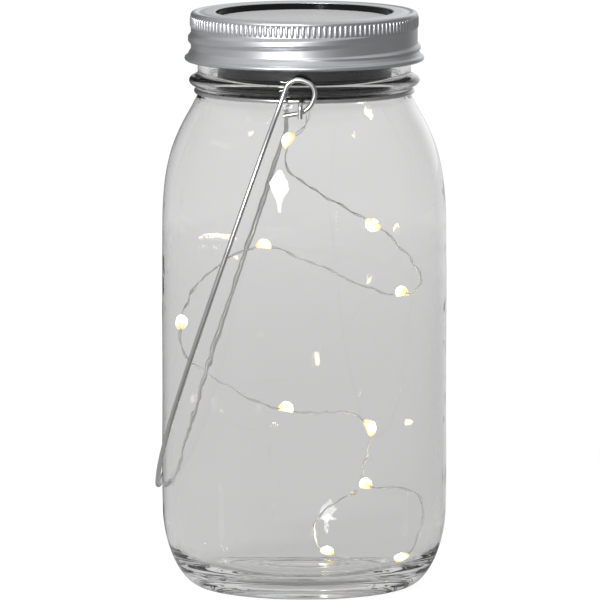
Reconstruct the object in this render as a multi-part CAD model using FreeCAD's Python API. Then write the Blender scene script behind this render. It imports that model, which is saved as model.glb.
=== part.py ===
import FreeCAD, Part
import math
import os

V = FreeCAD.Vector
UP = V(0, 0, 1)

# Driving dimensions of the glass jar, in millimetres
body_radius = 43.35
body_wall = 2.6
heel_height = 24.0
heel_radius = 37.0
heel_foot_height = 3.2
foot_radius = 31.0
punt_radius = 26.0
punt_height = 1.6
floor_thickness = 3.4
floor_corner_radius = 14.0
rim_height = 173.05
rim_round = 0.8
neck_radius = 32.5
neck_wall = 3.0
shoulder_below_rim = 57.75
shoulder_round_below_rim = 42.35
shoulder_round_drop = 1.85
shoulder_round_shift = 0.65
shoulder_slope_below_rim = 30.05
shoulder_slope_reach = 4.4
shoulder_slope_shift = 0.85
groove_below_rim = 20.75
groove_depth = 0.4
groove_clearance = 0.05
bead_below_rim = 17.55
bead_reach = 2.6
bead_half_height = 1.8

# Thread shared by the jar and the band
thread_pitch = 6.35
thread_below_rim = 8.05
thread_start_angle = -60.0
thread_end_angle = 300.0
thread_reach = 2.2
thread_root_half = 1.5
thread_crest_half = 0.6
thread_radial_gap = 0.4
thread_side_gap = 0.4
thread_overlap = 0.5
roll_lead_angle = 40.0
roll_trail_angle = 15.0
roll_end_angle = 3.0

# Screw band of rolled sheet
band_sheet = 0.35
band_height = 14.8
band_opening_margin = 0.5
band_roll_depth = 0.9
band_skirt_height = 2.9
band_hem_radius = 0.75
band_hem_offset = 0.2
band_flare = 0.1
band_edge_round = 1.4

# Lid module
gasket_thickness = 1.2
module_flange = 1.8
panel_recess = 1.7
panel_clearance = 0.3
backing_thickness = 1.2
cell_thickness = 0.3
cell_strip_count = 6
cell_strip_gap = 0.6
cell_edge = 1.6
resin_thickness = 0.8
module_step = 1.9
module_wall = 1.8
module_depth = 24.45
spigot_wall = 1.7
spigot_depth = 4.2
spigot_clearance = 0.9
flange_clearance = 0.15

# Bottom cover, screws and posts
cover_thickness = 2.2
cover_clearance = 0.2
boss_inset = 2.5
boss_side_angle = 20.0
boss_radius = 2.8
boss_height = 12.0
boss_clearance = 0.3
screw_radius = 0.95
screw_length = 8.0
screw_head_radius = 1.9
screw_head_height = 1.2
screw_slot_width = 0.6
screw_clearance = 0.1
post_radius = 1.5
post_height = 4.7

# Circuit board and what is on it
board_width = 26.0
board_corner_gap = 1.85
board_cell_gap = 2.0
board_thickness = 1.2
board_post_inset = 2.5
chip_size = (4.4, 3.6, 1.6)
chip_side = 6.0
chip_inset = 7.0
inductor_radius = 2.0
inductor_length = 7.0
inductor_side = 4.0
inductor_inset = 6.0

# Switch
switch_side = 5.25
switch_length = 8.5
switch_width = 4.0
switch_height = 3.9
knob_size = 2.0
knob_reach = 0.7
knob_travel = 2.0
knob_clearance = 0.3

# Rechargeable cell lying across the back half of the module
cell_diameter = 13.9
cell_length = 28.6
cell_nub_radius = 2.6
cell_nub_length = 0.7
sleeve_wall = 0.15
sleeve_lip = 2.0
cell_corner_gap = 1.2
cradle_gap = 0.6
cradle_clearance = 0.1
saddle_spacing = 16.0
saddle_thickness = 2.0
saddle_width = 10.0
saddle_height = 3.2
wall_height = 11.2
wall_thickness = 1.5
contact_thickness = 0.4
contact_width = 8.0
spring_radius = 3.2
spring_wire = 0.6
spring_turns = 2.5
spring_gap = 0.5

# Wire bail, its ears and the neck wire
wire_diameter = 1.5
ear_offset = 2.0
ear_reach = 4.2
ear_hook_reach = 2.2
ear_hook_drop = 4.6
ear_hook_round = 1.6
bail_length = 130.1
bail_leg_start = 3.0
bow_half = 8.0
bow_bend = 1.7
bow_rest_gap = 0.357
eye_leg_offset = 5.7
eye_far_side = 3.3
eye_top = 6.6
eye_bottom = 1.6
eye_mouth = 3.6
eye_tail_drop = 3.9
# Upper leg: how far down from the pivot, and how far outside the jar's body it passes there
bail_upper = [(16.0, -1.0), (32.0, 1.7), (54.0, 2.1)]
# Lower leg: how far up from the bow's end, how far inside the jar's body, and how far it bends to the jar
bail_lower = [(46.1, 2.1, 0.0), (24.1, 9.7, 0.1), (9.1, 21.3, 0.7)]

# Light string
light_wire_diameter = 0.8
light_wire_clearance = 0.05
grommet_radius = 1.8
grommet_flange = 0.8
grommet_flange_radius = 2.6
grommet_top = 0.6
string_lead_diameter = 0.5
string_lead_spacing = 0.8
drop_length = 5.4
drop_diameter = 3.3
led_chip_size = (1.6, 0.8, 0.6)
led_chip_lift = 0.6
tip_length = 2.4
tip_diameter = 1.6
panel_lead_diameter = 1.2
panel_lead_run = 4.0
panel_lead_top_side = 3.0
panel_lead_top_inset = 5.6
panel_lead_foot_side = 9.5
panel_lead_foot_inset = 9.0
string_exit_inset = 7.585

# Places worked out from the sizes above
shoulder_height = rim_height - shoulder_below_rim
shoulder_round_height = rim_height - shoulder_round_below_rim
shoulder_slope_height = rim_height - shoulder_slope_below_rim
groove_height = rim_height - groove_below_rim
bead_height = rim_height - bead_below_rim
thread_height_at_x = rim_height - thread_below_rim
flange_bottom = rim_height + gasket_thickness
flange_top = flange_bottom + module_flange
panel_top = flange_top - panel_recess
shelf_height = panel_top - resin_thickness - cell_thickness - backing_thickness
module_bottom = flange_top - module_depth
cover_top = module_bottom + cover_thickness
board_bottom = cover_top + post_height
board_top = board_bottom + board_thickness
neck_bore = neck_radius - neck_wall
thread_crest = neck_radius + thread_reach
band_groove = thread_crest + thread_radial_gap
band_crest = band_groove - band_roll_depth
band_top = flange_top + band_sheet
band_bottom = band_top - band_height
band_skirt = band_groove + band_flare
spigot_radius = neck_bore - spigot_clearance
recess_radius = spigot_radius - spigot_wall
panel_radius = recess_radius - panel_clearance
band_opening_radius = panel_radius + band_opening_margin
module_radius = spigot_radius - module_step
module_bore = module_radius - module_wall
boss_circle = module_bore - boss_inset
sleeve_radius = cell_diameter / 2 + sleeve_wall
sleeve_half = cell_length / 2 + sleeve_wall
cell_place = math.sqrt((module_bore - cell_corner_gap) ** 2 - sleeve_half ** 2) - sleeve_radius
board_front = -math.sqrt((module_bore - board_corner_gap) ** 2 - (board_width / 2) ** 2)
board_back = cell_place - sleeve_radius - board_cell_gap
switch_depth = (board_front + board_back) / 2
string_exit_depth = board_back - string_exit_inset
wire_radius = wire_diameter / 2
pivot_height = groove_height
neck_wire_radius = neck_radius - groove_depth + wire_radius
ear_plane = neck_wire_radius + ear_reach
bow_offset = eye_leg_offset - bow_bend
bow_reach = body_radius + wire_radius + bow_rest_gap + ear_offset
# The bail leans until its bow rests beside the jar's body
bail_lean = math.asin(bow_reach / math.hypot(bail_length, bow_offset)) - math.atan2(bow_offset, bail_length)

# Route of the light wire below the lid module, chosen by hand, and whether a drop of light sits there
string_points = [
    (0.0, -5.0, 146.8, False), (1.6, -3.6, 143.2, False), (0.4, -2.0, 140.2, False),
    (-4.9, -0.4, 136.7, True), (-6.5, -0.6, 131.5, False), (-3.7, -4.3, 127.0, False),
    (2.5, -11.8, 124.3, False), (12.1, -21.0, 119.9, False), (23.0, -28.1, 115.4, True),
    (29.4, -24.5, 108.9, False), (34.4, -15.1, 101.1, False), (36.6, -2.8, 93.5, False),
    (30.0, 10.7, 88.1, True), (20.8, 21.9, 88.1, False), (10.1, 28.0, 91.6, False),
    (-3.9, 29.8, 97.7, False), (-15.1, 26.8, 102.0, True), (-22.5, 23.1, 99.9, False),
    (-31.0, 15.4, 94.6, False), (-36.2, 5.9, 88.9, False), (-37.8, -3.3, 81.1, True),
    (-36.7, -11.2, 73.8, False), (-30.5, -15.7, 68.3, False), (-20.5, -17.9, 62.9, False),
    (-12.6, -17.2, 58.3, False), (-4.4, -13.4, 55.7, True), (2.7, -3.8, 53.6, False),
    (8.8, 10.8, 52.3, False), (14.2, 22.8, 50.2, False), (18.2, 28.6, 45.0, True),
    (18.6, 23.6, 39.6, False), (17.7, 11.0, 36.6, False), (17.7, -3.6, 35.1, False),
    (19.1, -16.4, 32.8, True), (25.0, -22.4, 33.8, False), (32.0, -19.6, 33.2, False),
    (36.4, -12.0, 29.2, False), (36.4, -7.6, 22.0, False), (33.8, -8.6, 14.6, False),
    (31.2, -12.8, 9.4, True), (25.4, -12.4, 6.4, False), (18.6, -3.0, 6.8, False),
    (12.4, 10.0, 6.6, False), (5.4, 19.6, 8.6, True), (1.2, 18.4, 12.6, False),
    (2.2, 11.2, 18.4, False), (8.0, 2.7, 24.6, False), (14.3, -2.8, 28.6, False)]


def line(a, b):
    return Part.LineSegment(a, b).toShape()


def arc(a, b, c):
    return Part.Arc(a, b, c).toShape()


def point(radius, height):
    return V(radius, 0, height)


def spline(points, first, last):
    curve = Part.BSplineCurve()
    curve.interpolate(Points=points, InitialTangent=first, FinalTangent=last)
    return curve.toShape()


def turned(edges):
    face = Part.Face(Part.Wire(Part.__sortEdges__(edges)))
    return face.revolve(V(0, 0, 0), UP, 360)


def ring(inner, outer, bottom, top):
    solid = Part.makeCylinder(outer, top - bottom, V(0, 0, bottom))
    if inner > 0:
        solid = solid.cut(Part.makeCylinder(inner, top - bottom, V(0, 0, bottom)))
    return solid


def box(x0, x1, y0, y1, z0, z1):
    return Part.makeBox(x1 - x0, y1 - y0, z1 - z0, V(x0, y0, z0))


def post(x, y, bottom, top, radius):
    return Part.makeCylinder(radius, top - bottom, V(x, y, bottom))


def fused(shapes):
    whole = shapes[0]
    for shape in shapes[1:]:
        whole = whole.fuse(shape)
    return whole.removeSplitter()


def rounded_path(points):
    # Straight runs joined by tangent arcs, each arc as large as its two runs allow
    edges = []
    radii = []
    here = points[0]
    for before, corner, after in zip(points, points[1:], points[2:]):
        into = (corner - before).normalize()
        out = (after - corner).normalize()
        reach = 0.45 * min(before.distanceToPoint(corner), corner.distanceToPoint(after))
        turn = into.getAngle(out)
        radii.append(reach / math.tan(turn / 2))
        start = corner - into * reach
        end = corner + out * reach
        to_centre = (out - into).normalize()
        centre = corner + to_centre * (reach / math.sin(turn / 2))
        middle = centre - to_centre * radii[-1]
        edges.append(line(here, start))
        edges.append(arc(start, middle, end))
        here = end
    edges.append(line(here, points[-1]))
    return Part.Wire(edges), radii


def tube(points, diameter):
    path, radii = rounded_path(points)
    along = (points[1] - points[0]).normalize()
    circle = Part.Wire(Part.makeCircle(diameter / 2, points[0], along))
    solid = path.makePipeShell([circle], True, False)
    section = math.pi * diameter ** 2 / 4
    return solid, path, radii, solid.Volume / (section * path.Length)


def thread_sweep(root, crest, root_half, crest_half, start_angle, end_angle):
    # A trapezium carried along the thread's helix between two angles about the jar's axis
    start_height = thread_height_at_x + thread_pitch * start_angle / 360
    rise = thread_pitch * (end_angle - start_angle) / 360
    helix = Part.makeHelix(thread_pitch, rise, root)
    corners = [point(root, -root_half), point(crest, -crest_half), point(crest, crest_half),
               point(root, root_half), point(root, -root_half)]
    ridge = Part.Wire(helix).makePipeShell([Part.makePolygon(corners)], True, True)
    ridge.rotate(V(0, 0, 0), UP, start_angle)
    ridge.translate(V(0, 0, start_height))
    return ridge


def coil_path(radius, pitch, turns):
    # A coil about the Z axis in quarter turns, each of two arcs that meet in line
    steps = round(turns * 4)
    rise = V(0, 0, pitch / (2 * math.pi))
    spots = []
    for step in range(steps + 1):
        angle = step * math.pi / 2
        along = V(-math.sin(angle), math.cos(angle), 0) * radius + rise
        spots.append((V(math.cos(angle), math.sin(angle), 0) * radius + rise * angle, along.normalize()))
    edges = []
    for (first, first_way), (last, last_way) in zip(spots, spots[1:]):
        gap = last - first
        sides = first_way + last_way
        square = sides.dot(sides) - 4
        slope = gap.dot(sides)
        reach = (slope - math.sqrt(slope ** 2 - square * gap.dot(gap))) / square
        near = first + first_way * reach
        far = last - last_way * reach
        joint = (near + far) * 0.5
        for start, corner, end in ((first, near, joint), (joint, far, last)):
            chord = end - start
            middle = (start + end) * 0.5
            lean = (corner - start).getAngle(chord)
            sag = chord.Length / 2 * math.tan(lean / 2)
            edges.append(arc(start, middle + (corner - middle).normalize() * sag, end))
    return Part.Wire(edges), spots[0][0], spots[0][1]


def thread_half(radius):
    # Half the width of the jar's thread at a radius between its root and its crest
    share = (radius - neck_radius) / thread_reach
    return thread_root_half + share * (thread_crest_half - thread_root_half)


def glass_jar():
    groove = neck_radius - groove_depth
    heel_drop = heel_radius - math.sqrt(heel_radius ** 2 - (heel_height - heel_foot_height) ** 2)
    heel_mid = (heel_height + heel_foot_height) / 2
    mid_drop = heel_radius - math.sqrt(heel_radius ** 2 - (heel_height - heel_mid) ** 2)
    heel_foot = point(body_radius - heel_drop, heel_foot_height)
    heel_tangent = V(heel_height - heel_foot_height, 0, heel_radius - heel_drop)
    foot = point(foot_radius, 0)
    punt_edge = point(punt_radius, 0)
    punt_top = point(0, punt_height)
    heel_end = point(body_radius, heel_height)
    shoulder = point(body_radius, shoulder_height)
    shoulder_round = point(body_radius - shoulder_round_drop, shoulder_round_height)
    slope_radius = neck_radius + shoulder_slope_reach
    shoulder_slope = point(slope_radius, shoulder_slope_height)
    groove_point = point(groove, groove_height)
    bead_low = point(neck_radius, bead_height - bead_half_height)
    bead_out = point(neck_radius + bead_reach, bead_height)
    bead_up = point(neck_radius, bead_height + bead_half_height)
    rim_out = point(neck_radius, rim_height - rim_round)
    rim_in = point(neck_bore, rim_height - rim_round)
    rim_top_out = point(neck_radius - rim_round, rim_height)
    rim_top_in = point(neck_bore + rim_round, rim_height)
    inner_radius = body_radius - body_wall
    floor = punt_height + floor_thickness
    corner_in = point(inner_radius - floor_corner_radius, floor)
    corner_out = point(inner_radius, floor + floor_corner_radius)
    diagonal = floor_corner_radius * (1 - math.sqrt(0.5))
    corner_mid = point(inner_radius - diagonal, floor + diagonal)
    inner_shoulder = point(inner_radius, shoulder_height)
    inner_round = point(inner_radius - shoulder_round_drop, shoulder_round_height - shoulder_round_shift)
    inner_slope = point(slope_radius - body_wall, shoulder_slope_height - shoulder_slope_shift)
    inner_neck = point(neck_bore, bead_height - bead_half_height)
    round_in = rim_round * (1 - math.sqrt(0.5))
    edges = [
        spline([punt_top, punt_edge], V(1, 0, 0), V(1, 0, -0.6)),
        line(punt_edge, foot),
        spline([foot, heel_foot], V(1, 0, 0), heel_tangent),
        arc(heel_foot, point(body_radius - mid_drop, heel_mid), heel_end),
        line(heel_end, shoulder),
        spline([shoulder, shoulder_round, shoulder_slope, groove_point], UP, UP),
        line(groove_point, bead_low),
        arc(bead_low, bead_out, bead_up),
        line(bead_up, rim_out),
        arc(rim_out, point(neck_radius - round_in, rim_height - round_in), rim_top_out),
        line(rim_top_out, rim_top_in),
        arc(rim_top_in, point(neck_bore + round_in, rim_height - round_in), rim_in),
        line(rim_in, inner_neck),
        spline([inner_neck, inner_slope, inner_round, inner_shoulder], UP * -1, UP * -1),
        line(inner_shoulder, corner_out),
        arc(corner_out, corner_mid, corner_in),
        line(corner_in, point(0, floor)),
        line(point(0, floor), punt_top)]
    jar = turned(edges)
    root = neck_radius - thread_overlap
    ridge = thread_sweep(root, thread_crest, thread_half(root), thread_crest_half,
                         thread_start_angle, thread_end_angle)
    seat = Part.makeTorus(neck_wire_radius, wire_radius + groove_clearance, V(0, 0, groove_height))
    return jar.fuse(ridge).cut(seat)


def screw_band():
    outside = band_crest + band_sheet
    skirt_outside = band_skirt + band_sheet
    skirt_top = band_bottom + band_skirt_height
    flare_top = skirt_top + (skirt_outside - outside)
    hem_centre = skirt_outside + band_hem_offset
    edges_round = band_edge_round * (1 - math.sqrt(0.5))
    inner_round = (band_edge_round - band_sheet) * (1 - math.sqrt(0.5))
    flange_under = band_top - band_sheet
    edges = [
        line(point(band_skirt, band_bottom), point(skirt_outside, band_bottom)),
        line(point(skirt_outside, band_bottom), point(skirt_outside, skirt_top)),
        line(point(skirt_outside, skirt_top), point(outside, flare_top)),
        line(point(outside, flare_top), point(outside, band_top - band_edge_round)),
        arc(point(outside, band_top - band_edge_round),
            point(outside - edges_round, band_top - edges_round), point(outside - band_edge_round, band_top)),
        line(point(outside - band_edge_round, band_top), point(band_opening_radius, band_top)),
        line(point(band_opening_radius, band_top), point(band_opening_radius, flange_under)),
        line(point(band_opening_radius, flange_under), point(outside - band_edge_round, flange_under)),
        arc(point(outside - band_edge_round, flange_under),
            point(band_crest - inner_round, flange_under - inner_round),
            point(band_crest, band_top - band_edge_round)),
        line(point(band_crest, band_top - band_edge_round), point(band_crest, flare_top)),
        line(point(band_crest, flare_top), point(band_skirt, skirt_top)),
        line(point(band_skirt, skirt_top), point(band_skirt, band_bottom))]
    shell = turned(edges)
    hem = Part.makeTorus(hem_centre, band_hem_radius, V(0, 0, band_bottom + band_hem_radius))
    hem = hem.cut(Part.makeCylinder(band_skirt, band_height, V(0, 0, band_bottom)))
    side = thread_side_gap
    inner_root = band_crest - thread_overlap
    low_angle = thread_start_angle - roll_lead_angle
    high_angle = thread_end_angle + roll_trail_angle
    groove = thread_sweep(inner_root, band_groove, thread_half(inner_root) + side,
                          thread_crest_half + side, low_angle, high_angle)
    outer_root = outside - band_sheet / 2
    roll = thread_sweep(outer_root, band_groove + band_sheet, thread_half(band_crest) + side + band_sheet,
                        thread_crest_half + side + band_sheet / 2, low_angle, high_angle + roll_end_angle)
    return fused([shell, hem, roll]).cut(groove)


def rim_gasket():
    return ring(neck_bore, neck_radius, rim_height, flange_bottom)


def boss_places():
    turn = math.radians(boss_side_angle)
    side = boss_circle * math.cos(turn)
    front = -boss_circle * math.sin(turn)
    return [V(side, front, 0), V(-side, front, 0), V(0, boss_circle, 0)]


def lid_housing():
    flange_radius = band_crest - (band_edge_round - band_sheet) - flange_clearance
    flange = ring(0, flange_radius, flange_bottom, flange_top)
    body = [flange, ring(0, spigot_radius, flange_bottom - spigot_depth, flange_bottom),
            ring(0, module_radius, module_bottom, flange_bottom)]
    shell = fused(body)
    shell = shell.cut(Part.makeCylinder(recess_radius, module_depth, V(0, 0, shelf_height)))
    shell = shell.cut(Part.makeCylinder(module_bore, module_depth, V(0, 0, module_bottom)))
    bosses = []
    for place in boss_places():
        boss = post(place.x, place.y, cover_top, cover_top + boss_height, boss_radius)
        bosses.append(boss.common(Part.makeCylinder(module_radius, module_depth, V(0, 0, module_bottom))))
    shell = fused([shell] + bosses)
    for place in boss_places():
        pilot_radius = screw_radius + screw_clearance / 2
        shell = shell.cut(post(place.x, place.y, cover_top, cover_top + screw_length, pilot_radius))
    return shell


def cover_screws():
    screws = []
    for place in boss_places():
        head_top = module_bottom + screw_head_height
        head = post(place.x, place.y, module_bottom, head_top, screw_head_radius)
        half = screw_slot_width / 2
        slot = box(place.x - screw_head_radius, place.x + screw_head_radius, place.y - half, place.y + half,
                   module_bottom, module_bottom + screw_head_height / 2)
        shank = post(place.x, place.y, head_top, head_top + screw_length, screw_radius)
        screws.append(head.cut(slot).fuse(shank))
    return Part.makeCompound(screws)


def cell_axis_height():
    return cover_top + cradle_gap + sleeve_radius


def board_posts():
    x = board_width / 2 - board_post_inset
    return [(sign * x, y) for sign in (1, -1)
            for y in (board_front + board_post_inset, board_back - board_post_inset)]


def contact_faces():
    # Where the plate and the spring's plate stand, along X
    plate = cell_length / 2 + cell_nub_length
    spring_length = spring_turns * (spring_wire + spring_gap) + spring_wire
    return plate, -cell_length / 2 - spring_length


def bottom_cover():
    cover = ring(0, module_bore - cover_clearance, module_bottom, cover_top)
    pieces = [cover]
    for x, y in board_posts():
        pieces.append(post(x, y, module_bottom, board_bottom, post_radius))
    low = cell_place - saddle_width / 2
    high = cell_place + saddle_width / 2
    for sign in (1, -1):
        x = sign * saddle_spacing / 2
        pieces.append(box(x - saddle_thickness / 2, x + saddle_thickness / 2, low, high,
                          module_bottom, cover_top + saddle_height))
    plate, spring_plate = contact_faces()
    near = plate + contact_thickness
    far = spring_plate - contact_thickness
    pieces.append(box(near, near + wall_thickness, low, high, module_bottom, cover_top + wall_height))
    pieces.append(box(far - wall_thickness, far, low, high, module_bottom, cover_top + wall_height))
    # What stands on the cover keeps inside the housing and clear of its bosses
    inside = Part.makeCylinder(module_bore - cover_clearance, module_depth, V(0, 0, module_bottom))
    cover = fused(pieces).common(inside)
    bed_reach = saddle_spacing / 2 + saddle_thickness
    bed_start = V(-bed_reach, cell_place, cell_axis_height())
    bed_radius = sleeve_radius + cradle_clearance
    cover = cover.cut(Part.makeCylinder(bed_radius, 2 * bed_reach, bed_start, V(1, 0, 0)))
    for place in boss_places():
        cover = cover.cut(post(place.x, place.y, cover_top, cover_top + boss_height + boss_clearance,
                               boss_radius + boss_clearance))
        cover = cover.cut(post(place.x, place.y, module_bottom, cover_top, screw_radius + screw_clearance))
        cover = cover.cut(post(place.x, place.y, module_bottom, module_bottom + screw_head_height,
                               screw_head_radius + screw_clearance))
    half = knob_size / 2 + knob_clearance
    slot = box(switch_side - half, switch_side + knob_travel + half, switch_depth - half, switch_depth + half,
               module_bottom, cover_top)
    hole = post(0, string_exit_depth, module_bottom, cover_top, grommet_radius)
    return cover.cut(slot).cut(hole)


def grommet():
    low = module_bottom - grommet_flange
    high = cover_top + grommet_top
    bush = post(0, string_exit_depth, low, high, grommet_radius)
    collar = post(0, string_exit_depth, low, module_bottom, grommet_flange_radius)
    bore = post(0, string_exit_depth, low, high, light_wire_diameter / 2 + light_wire_clearance)
    return fused([bush, collar]).cut(bore)


def circuit_board():
    return box(-board_width / 2, board_width / 2, board_front, board_back, board_bottom, board_top)


def driver_chip():
    x = -chip_side
    y = board_front + chip_inset
    length, width, height = chip_size
    return box(x - length / 2, x + length / 2, y - width / 2, y + width / 2, board_top, board_top + height)


def inductor():
    start = V(inductor_side - inductor_length / 2, board_front + inductor_inset, board_top + inductor_radius)
    return Part.makeCylinder(inductor_radius, inductor_length, start, V(1, 0, 0))


def switch_body():
    middle = switch_side + knob_travel / 2
    return box(middle - switch_length / 2, middle + switch_length / 2, switch_depth - switch_width / 2,
               switch_depth + switch_width / 2, board_bottom - switch_height, board_bottom)


def switch_knob():
    half = knob_size / 2
    return box(switch_side - half, switch_side + half, switch_depth - half, switch_depth + half,
               module_bottom - knob_reach, board_bottom - switch_height)


def battery_cell():
    centre = V(-cell_length / 2, cell_place, cell_axis_height())
    can = Part.makeCylinder(cell_diameter / 2, cell_length, centre, V(1, 0, 0))
    nub = Part.makeCylinder(cell_nub_radius, cell_length + cell_nub_length, centre, V(1, 0, 0))
    return fused([can, nub])


def battery_sleeve():
    centre = V(-sleeve_half, cell_place, cell_axis_height())
    outside = Part.makeCylinder(sleeve_radius, 2 * sleeve_half, centre, V(1, 0, 0))
    bore = Part.makeCylinder(cell_diameter / 2 - sleeve_lip, 2 * sleeve_half, centre, V(1, 0, 0))
    return outside.cut(bore).cut(battery_cell())


def battery_plate():
    plate = contact_faces()[0]
    half = contact_width / 2
    z = cell_axis_height()
    return box(plate, plate + contact_thickness, cell_place - half, cell_place + half, z - half, z + half)


def battery_spring():
    spring_plate = contact_faces()[1]
    half = contact_width / 2
    z = cell_axis_height()
    back = box(spring_plate - contact_thickness, spring_plate, cell_place - half, cell_place + half,
               z - half, z + half)
    path, start, along = coil_path(spring_radius, spring_wire + spring_gap, spring_turns)
    circle = Part.Wire(Part.makeCircle(spring_wire / 2, start, along))
    coil = path.makePipeShell([circle], True, False)
    coil.rotate(V(0, 0, 0), V(0, 1, 0), 90)
    coil.translate(V(spring_plate + spring_wire / 2, cell_place, z))
    return Part.makeCompound([back, coil])


def solar_backing():
    return ring(0, panel_radius, shelf_height, shelf_height + backing_thickness)


def solar_cells():
    # Strips of cell side by side, cut to the round panel
    reach = panel_radius - cell_edge
    bottom = shelf_height + backing_thickness
    disc = ring(0, reach, bottom, bottom + cell_thickness)
    step = 2 * reach / cell_strip_count
    cells = []
    for index in range(cell_strip_count):
        left = -reach + index * step + cell_strip_gap / 2
        strip = box(left, left + step - cell_strip_gap, -reach, reach, bottom, bottom + cell_thickness)
        cells.append(strip.common(disc))
    return Part.makeCompound(cells)


def panel_resin():
    bottom = shelf_height + backing_thickness
    resin = ring(0, panel_radius, bottom, panel_top)
    for cell in solar_cells().Solids:
        resin = resin.cut(cell)
    return resin


def panel_lead(side):
    top = V(side * panel_lead_top_side, board_back - panel_lead_top_inset, shelf_height)
    foot = V(side * panel_lead_foot_side, board_back - panel_lead_foot_inset, board_top)
    run = UP * panel_lead_run
    return tube([top, top - run, foot + run, foot], panel_lead_diameter)[0]


def string_leads():
    reach = string_lead_spacing / 2
    bottom = cover_top + grommet_top
    radius = string_lead_diameter / 2
    return Part.makeCompound([post(sign * reach, string_exit_depth, bottom, board_bottom, radius)
                              for sign in (1, -1)])


def neck_wire():
    whole = [Part.makeTorus(neck_wire_radius, wire_radius, V(0, 0, groove_height))]
    root = math.sqrt(neck_wire_radius ** 2 - ear_offset ** 2)
    tip = ear_plane + ear_hook_reach
    for side in (1, -1):
        start = V(ear_offset, side * root, pivot_height)
        corner = V(ear_offset, side * tip, pivot_height)
        into = V(ear_offset, side * (tip - ear_hook_round), pivot_height)
        out = V(ear_offset, side * tip, pivot_height - ear_hook_round)
        inset = ear_hook_round * (1 - math.sqrt(0.5))
        middle = corner - V(0, side * inset, inset)
        end = V(ear_offset, side * tip, pivot_height - ear_hook_drop)
        path = Part.Wire([line(start, into), arc(into, middle, out), line(out, end)])
        circle = Part.Wire(Part.makeCircle(wire_radius, start, V(0, side, 0)))
        whole.append(path.makePipeShell([circle], True, False))
    return fused(whole)


def bail_handle():
    down = V(-math.sin(bail_lean), 0, -math.cos(bail_lean))
    outward = V(-math.cos(bail_lean), 0, math.sin(bail_lean))
    pivot = V(ear_offset, 0, pivot_height)
    leg = eye_leg_offset
    # One half of the wire: along the leg, out from the pivot, and half the width there
    half = [(eye_bottom + eye_tail_drop, eye_mouth, ear_plane),
            (eye_bottom, -eye_far_side, ear_plane),
            (-eye_top, -eye_far_side, ear_plane),
            (-eye_top, leg, ear_plane),
            (bail_leg_start, leg, ear_plane)]
    half += [(along, leg, body_radius + outside) for along, outside in bail_upper]
    half += [(bail_length - back, leg - bend, body_radius - inside) for back, inside, bend in bail_lower]
    half.append((bail_length, bow_offset, bow_half))
    front = [pivot + down * s + outward * h + V(0, -w, 0) for s, h, w in half]
    rear = [pivot + down * s + outward * h + V(0, w, 0) for s, h, w in half]
    solid, path, radii, ratio = tube(front + rear[::-1], wire_diameter)
    print("bail wire length %.1f, volume ratio %.4f" % (path.Length, ratio))
    print("bail radii", " ".join("%.1f" % r for r in radii))
    return solid


def light_route():
    top = V(0, string_exit_depth, module_bottom - grommet_flange)
    return [top] + [V(x, y, z) for x, y, z, lit in string_points]


def light_wire():
    solid, path, radii, ratio = tube(light_route(), light_wire_diameter)
    print("light wire length %.1f, volume ratio %.4f" % (path.Length, ratio))
    print("light wire radii", " ".join("%.1f" % r for r in radii))
    return solid


def drop_frames():
    # Where each drop sits on the wire, which way the wire runs there, and the side its chip faces
    route = light_route()
    frames = []
    path = rounded_path(route)[0]
    for before, corner, after, row in zip(route, route[1:], route[2:], string_points):
        if row[3]:
            spot = path.distToShape(Part.Vertex(corner))[1][0][0]
            along = (after - before).normalize()
            side = UP - along * along.dot(UP)
            if side.Length < 0.2:
                side = V(1, 0, 0) - along * along.x
            frames.append((spot, along, side.normalize()))
    return frames


def placed(shape, spot, along, side):
    across = side.cross(along)
    turn = FreeCAD.Matrix(along.x, across.x, side.x, spot.x, along.y, across.y, side.y, spot.y,
                          along.z, across.z, side.z, spot.z, 0, 0, 0, 1)
    return shape.transformed(turn)


def led_drop(place):
    length = drop_length / 2
    radius = drop_diameter / 2
    ellipse = Part.Ellipse(V(length, 0, 0), V(0, 0, radius), V(0, 0, 0))
    outline = ellipse.toShape(0, math.pi)
    ends = [vertex.Point for vertex in outline.Vertexes]
    face = Part.Face(Part.Wire([outline, line(ends[1], ends[0])]))
    drop = face.revolve(V(0, 0, 0), V(1, 0, 0), 360)
    return placed(drop, *place)


def led_chip(place):
    length, width, height = led_chip_size
    chip = box(-length / 2, length / 2, -width / 2, width / 2, led_chip_lift, led_chip_lift + height)
    return placed(chip, *place)


def wire_tip():
    end = light_route()[-1]
    along = (end - light_route()[-2]).normalize()
    return Part.makeCylinder(tip_diameter / 2, tip_length, end, along)


os.makedirs("parts", exist_ok=True)
drop_places = drop_frames()
nodes = {
    "glass_jar": glass_jar(), "neck_wire": neck_wire(), "bail_handle": bail_handle(),
    "screw_band": screw_band(), "rim_gasket": rim_gasket(), "lid_housing": lid_housing(),
    "solar_backing": solar_backing(), "solar_cells": solar_cells(), "panel_resin": panel_resin(),
    "bottom_cover": bottom_cover(), "cover_screws": cover_screws(), "circuit_board": circuit_board(),
    "driver_chip": driver_chip(), "inductor": inductor(), "switch_body": switch_body(),
    "switch_knob": switch_knob(), "battery_cell": battery_cell(), "battery_sleeve": battery_sleeve(),
    "battery_plate": battery_plate(), "battery_spring": battery_spring(), "wire_grommet": grommet(),
    "string_leads": string_leads(), "panel_lead_red": panel_lead(-1), "panel_lead_black": panel_lead(1),
    "light_wire": light_wire(), "wire_tip": wire_tip(),
    "led_chips": Part.makeCompound([led_chip(place) for place in drop_places])}
for number, place in enumerate(drop_places, 1):
    nodes["led_drop_%02d" % number] = led_drop(place)
for name, shape in nodes.items():
    shape.exportStep("parts/%s.step" % name)
    state = "ok" if shape.isValid() else "INVALID"
    print("%-18s %-8s solids %d volume %.2f" % (name, state, len(shape.Solids), shape.Volume))
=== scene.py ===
import math

import bmesh
import bpy
from mathutils import Matrix, Vector


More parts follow.
